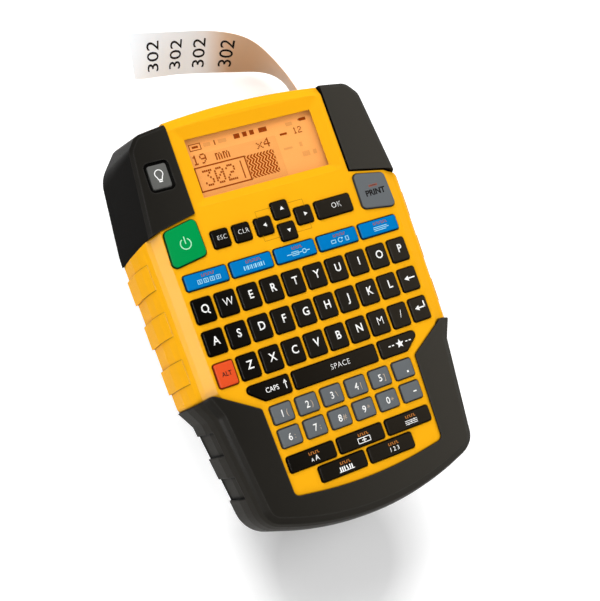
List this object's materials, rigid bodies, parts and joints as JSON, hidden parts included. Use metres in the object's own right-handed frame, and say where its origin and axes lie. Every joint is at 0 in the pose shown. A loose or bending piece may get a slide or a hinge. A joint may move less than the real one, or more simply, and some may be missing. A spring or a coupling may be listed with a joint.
{
  "type": "hand-held label maker",
  "caption": "Hand-held label maker with a letter keypad, a display, a label cassette, a cutter button and a printed label curling out of its top end",
  "frame": {"origin": "middle of the rear rest face on the keypad centre line", "axes": "+Z out of the face, +Y towards the label exit, +X to the right of the user; the label maker lies on its back"},
  "size_m": [0.1264, 0.2227, 0.0481],
  "materials": {
    "yellow_casing": "fine satin texture",
    "black_rubber": "soft matt rubber",
    "rear_casing": "matt",
    "window": "clear gloss",
    "display": "backlit orange",
    "green_key": "satin",
    "blue_key": "satin",
    "orange_key": "satin",
    "grey_key": "satin",
    "dark_grey_key": "satin",
    "black_key": "satin",
    "label": "satin white film",
    "circuit_board": "solder mask",
    "keypad_rubber": "matt",
    "mechanism_plastic": "matt",
    "gear_plastic": "natural acetal",
    "cassette_plastic": "matt",
    "ribbon_film": "wound film",
    "steel": "plain",
    "platen_rubber": "matt",
    "cell_jacket": "printed sleeve",
    "foot_rubber": "matt"
  },
  "bodies": {
    "casing": {"front_housing": "yellow_casing", "rear_housing": "rear_casing", "left_shoulder_bumper": "black_rubber", "right_shoulder_bumper": "black_rubber", "lower_bumper": "black_rubber", "screen_window": "window", "lcd_module": "display", "keypad_mat": "keypad_rubber", "main_board": "circuit_board", "battery_cells": "cell_jacket", "battery_contacts": "steel", "power_inlet": "mechanism_plastic", "case_screws": "steel", "rubber_feet": "foot_rubber", "mechanism_frame": "mechanism_plastic", "drive_motor": "steel", "cassette_shell": "cassette_plastic", "label_tape": "label", "cutter_spring": "steel"},
    "cassette_door": {"cassette_door": "rear_casing"},
    "battery_door": {"battery_door": "rear_casing"},
    "cutter_button": {"cutter_button": "black_rubber"},
    "cutter_blade": {"cutter_blade": "steel"},
    "print_head": {"print_head": "steel"},
    "platen": {"platen_roller": "platen_rubber", "platen_gear": "gear_plastic"},
    "idler": {"idler_gear": "gear_plastic"},
    "pinion": {"motor_pinion": "gear_plastic"},
    "long_idler": {"long_idler_gear": "gear_plastic"},
    "takeup": {"ribbon_takeup_spool": "ribbon_film", "takeup_spindle": "gear_plastic"},
    "label_roll": {"label_roll": "label"},
    "ribbon_supply": {"ribbon_supply_spool": "ribbon_film"},
    "backlight_key": {"backlight_key": "dark_grey_key"},
    "caps_key": {"caps_key": "black_key"},
    "clear_key": {"clear_key": "black_key"},
    "digit_keys_lower": {"digit_keys_lower": "grey_key"},
    "digit_keys_upper": {"digit_keys_upper": "grey_key"},
    "down_arrow_key": {"down_arrow_key": "black_key"},
    "escape_key": {"escape_key": "black_key"},
    "favourites_key": {"favourites_key": "black_key"},
    "function_keys_lower": {"function_keys_lower": "black_key"},
    "function_keys_upper": {"function_keys_upper": "black_key"},
    "left_arrow_key": {"left_arrow_key": "black_key"},
    "letter_keys_lower": {"letter_keys_lower": "black_key"},
    "letter_keys_middle": {"letter_keys_middle": "black_key"},
    "letter_keys_upper": {"letter_keys_upper": "black_key"},
    "ok_key": {"ok_key": "black_key"},
    "power_key": {"power_key": "green_key"},
    "print_key": {"print_key": "grey_key"},
    "right_arrow_key": {"right_arrow_key": "black_key"},
    "setting_key_1": {"setting_key_1": "blue_key"},
    "setting_key_2": {"setting_key_2": "blue_key"},
    "setting_key_3": {"setting_key_3": "blue_key"},
    "setting_key_4": {"setting_key_4": "blue_key"},
    "setting_key_5": {"setting_key_5": "blue_key"},
    "shift_key": {"shift_key": "orange_key"},
    "space_key": {"space_key": "black_key"},
    "up_arrow_key": {"up_arrow_key": "black_key"}
  },
  "joints": [
    {"name": "cassette_door_hinge", "type": "hinge", "parent": "casing", "child": "cassette_door", "pos_m": [0, 0.07345, 0.0007], "axis": [1, 0, 0], "range_deg": [0, 105]},
    {"name": "battery_door_hinge", "type": "hinge", "parent": "casing", "child": "battery_door", "pos_m": [0, -0.07355, 0.0007], "axis": [-1, 0, 0], "range_deg": [0, 100]},
    {"name": "cutter_button_slide", "type": "slide", "parent": "casing", "child": "cutter_button", "axis": [0, 0, -1], "range_m": [0, 0.0024], "stiffness_N_per_m": 900, "springref_m": -0.001, "deforming": ["cutter_spring"]},
    {"name": "cutter_blade_slide", "type": "slide", "parent": "casing", "child": "cutter_blade", "axis": [-1, 0, 0], "range_m": [0, 0.004]},
    {"name": "print_head_hinge", "type": "hinge", "parent": "casing", "child": "print_head", "pos_m": [0.0305, 0.08067, 0.014], "axis": [0, 0, -1], "range_deg": [0, 8]},
    {"name": "platen_spin", "type": "hinge", "parent": "casing", "child": "platen", "pos_m": [0.03702, 0.07338, 0], "axis": [0, 0, 1], "continuous": true},
    {"name": "idler_spin", "type": "hinge", "parent": "casing", "child": "idler", "pos_m": [0.04441, 0.0623, 0], "axis": [0, 0, 1], "continuous": true},
    {"name": "pinion_spin", "type": "hinge", "parent": "casing", "child": "pinion", "pos_m": [0.04418, 0.05258, 0], "axis": [0, 0, 1], "continuous": true},
    {"name": "long_idler_spin", "type": "hinge", "parent": "casing", "child": "long_idler", "pos_m": [0.03832, 0.03481, 0], "axis": [0, 0, 1], "continuous": true},
    {"name": "takeup_spin", "type": "hinge", "parent": "casing", "child": "takeup", "pos_m": [0.0145, 0.031, 0], "axis": [0, 0, 1], "continuous": true},
    {"name": "label_roll_spin", "type": "hinge", "parent": "casing", "child": "label_roll", "pos_m": [-0.0065, 0.0496, 0], "axis": [0, 0, 1], "continuous": true},
    {"name": "ribbon_supply_spin", "type": "hinge", "parent": "casing", "child": "ribbon_supply", "pos_m": [-0.01, 0.026, 0], "axis": [0, 0, 1], "continuous": true},
    {"name": "power_key_press", "type": "slide", "parent": "casing", "child": "power_key", "axis": [0, 0, -1], "range_m": [0, 0.0009], "stiffness_N_per_m": 600, "springref_m": -0.0005},
    {"name": "print_key_press", "type": "slide", "parent": "casing", "child": "print_key", "axis": [0, 0, -1], "range_m": [0, 0.0009], "stiffness_N_per_m": 600, "springref_m": -0.0005},
    {"name": "shift_key_press", "type": "slide", "parent": "casing", "child": "shift_key", "axis": [0, 0, -1], "range_m": [0, 0.0009], "stiffness_N_per_m": 600, "springref_m": -0.0005},
    {"name": "ok_key_press", "type": "slide", "parent": "casing", "child": "ok_key", "axis": [0, 0, -1], "range_m": [0, 0.0009], "stiffness_N_per_m": 600, "springref_m": -0.0005},
    {"name": "space_key_press", "type": "slide", "parent": "casing", "child": "space_key", "axis": [0, 0, -1], "range_m": [0, 0.0009], "stiffness_N_per_m": 600, "springref_m": -0.0005},
    {"name": "caps_key_press", "type": "slide", "parent": "casing", "child": "caps_key", "axis": [0, 0, -1], "range_m": [0, 0.0009], "stiffness_N_per_m": 600, "springref_m": -0.0005},
    {"name": "favourites_key_press", "type": "slide", "parent": "casing", "child": "favourites_key", "axis": [0, 0, -1], "range_m": [0, 0.0009], "stiffness_N_per_m": 600, "springref_m": -0.0005},
    {"name": "backlight_key_press", "type": "slide", "parent": "casing", "child": "backlight_key", "axis": [0, 0, -1], "range_m": [0, 0.0009], "stiffness_N_per_m": 600, "springref_m": -0.0005},
    {"name": "letter_keys_upper_press", "type": "slide", "parent": "casing", "child": "letter_keys_upper", "axis": [0, 0, -1], "range_m": [0, 0.0009], "stiffness_N_per_m": 600, "springref_m": -0.0005},
    {"name": "digit_keys_upper_press", "type": "slide", "parent": "casing", "child": "digit_keys_upper", "axis": [0, 0, -1], "range_m": [0, 0.0009], "stiffness_N_per_m": 600, "springref_m": -0.0005},
    {"name": "function_keys_upper_press", "type": "slide", "parent": "casing", "child": "function_keys_upper", "axis": [0, 0, -1], "range_m": [0, 0.0009], "stiffness_N_per_m": 600, "springref_m": -0.0005},
    {"name": "setting_key_1_press", "type": "slide", "parent": "casing", "child": "setting_key_1", "axis": [0, 0, -1], "range_m": [0, 0.0009], "stiffness_N_per_m": 600, "springref_m": -0.0005},
    {"name": "clear_key_press", "type": "slide", "parent": "casing", "child": "clear_key", "axis": [0, 0, -1], "range_m": [0, 0.0009], "stiffness_N_per_m": 600, "springref_m": -0.0005},
    {"name": "digit_keys_lower_press", "type": "slide", "parent": "casing", "child": "digit_keys_lower", "axis": [0, 0, -1], "range_m": [0, 0.0009], "stiffness_N_per_m": 600, "springref_m": -0.0005},
    {"name": "down_arrow_key_press", "type": "slide", "parent": "casing", "child": "down_arrow_key", "axis": [0, 0, -1], "range_m": [0, 0.0009], "stiffness_N_per_m": 600, "springref_m": -0.0005},
    {"name": "escape_key_press", "type": "slide", "parent": "casing", "child": "escape_key", "axis": [0, 0, -1], "range_m": [0, 0.0009], "stiffness_N_per_m": 600, "springref_m": -0.0005},
    {"name": "function_keys_lower_press", "type": "slide", "parent": "casing", "child": "function_keys_lower", "axis": [0, 0, -1], "range_m": [0, 0.0009], "stiffness_N_per_m": 600, "springref_m": -0.0005},
    {"name": "left_arrow_key_press", "type": "slide", "parent": "casing", "child": "left_arrow_key", "axis": [0, 0, -1], "range_m": [0, 0.0009], "stiffness_N_per_m": 600, "springref_m": -0.0005},
    {"name": "letter_keys_lower_press", "type": "slide", "parent": "casing", "child": "letter_keys_lower", "axis": [0, 0, -1], "range_m": [0, 0.0009], "stiffness_N_per_m": 600, "springref_m": -0.0005},
    {"name": "letter_keys_middle_press", "type": "slide", "parent": "casing", "child": "letter_keys_middle", "axis": [0, 0, -1], "range_m": [0, 0.0009], "stiffness_N_per_m": 600, "springref_m": -0.0005},
    {"name": "right_arrow_key_press", "type": "slide", "parent": "casing", "child": "right_arrow_key", "axis": [0, 0, -1], "range_m": [0, 0.0009], "stiffness_N_per_m": 600, "springref_m": -0.0005},
    {"name": "setting_key_2_press", "type": "slide", "parent": "casing", "child": "setting_key_2", "axis": [0, 0, -1], "range_m": [0, 0.0009], "stiffness_N_per_m": 600, "springref_m": -0.0005},
    {"name": "setting_key_3_press", "type": "slide", "parent": "casing", "child": "setting_key_3", "axis": [0, 0, -1], "range_m": [0, 0.0009], "stiffness_N_per_m": 600, "springref_m": -0.0005},
    {"name": "setting_key_4_press", "type": "slide", "parent": "casing", "child": "setting_key_4", "axis": [0, 0, -1], "range_m": [0, 0.0009], "stiffness_N_per_m": 600, "springref_m": -0.0005},
    {"name": "setting_key_5_press", "type": "slide", "parent": "casing", "child": "setting_key_5", "axis": [0, 0, -1], "range_m": [0, 0.0009], "stiffness_N_per_m": 600, "springref_m": -0.0005},
    {"name": "up_arrow_key_press", "type": "slide", "parent": "casing", "child": "up_arrow_key", "axis": [0, 0, -1], "range_m": [0, 0.0009], "stiffness_N_per_m": 600, "springref_m": -0.0005}
  ],
  "couplings": [
    {"joint": "cutter_blade_slide", "follows": "cutter_button_slide", "ratio": 1.6667},
    {"joint": "print_head_hinge", "follows": "cassette_door_hinge", "ratio": 0.07619},
    {"joint": "idler_spin", "follows": "platen_spin", "ratio": -1.2},
    {"joint": "pinion_spin", "follows": "platen_spin", "ratio": 2},
    {"joint": "long_idler_spin", "follows": "platen_spin", "ratio": -0.48},
    {"joint": "takeup_spin", "follows": "platen_spin", "ratio": 0.8},
    {"joint": "label_roll_spin", "follows": "platen_spin", "ratio": 0.28169},
    {"joint": "ribbon_supply_spin", "follows": "platen_spin", "ratio": 0.5}
  ]
}
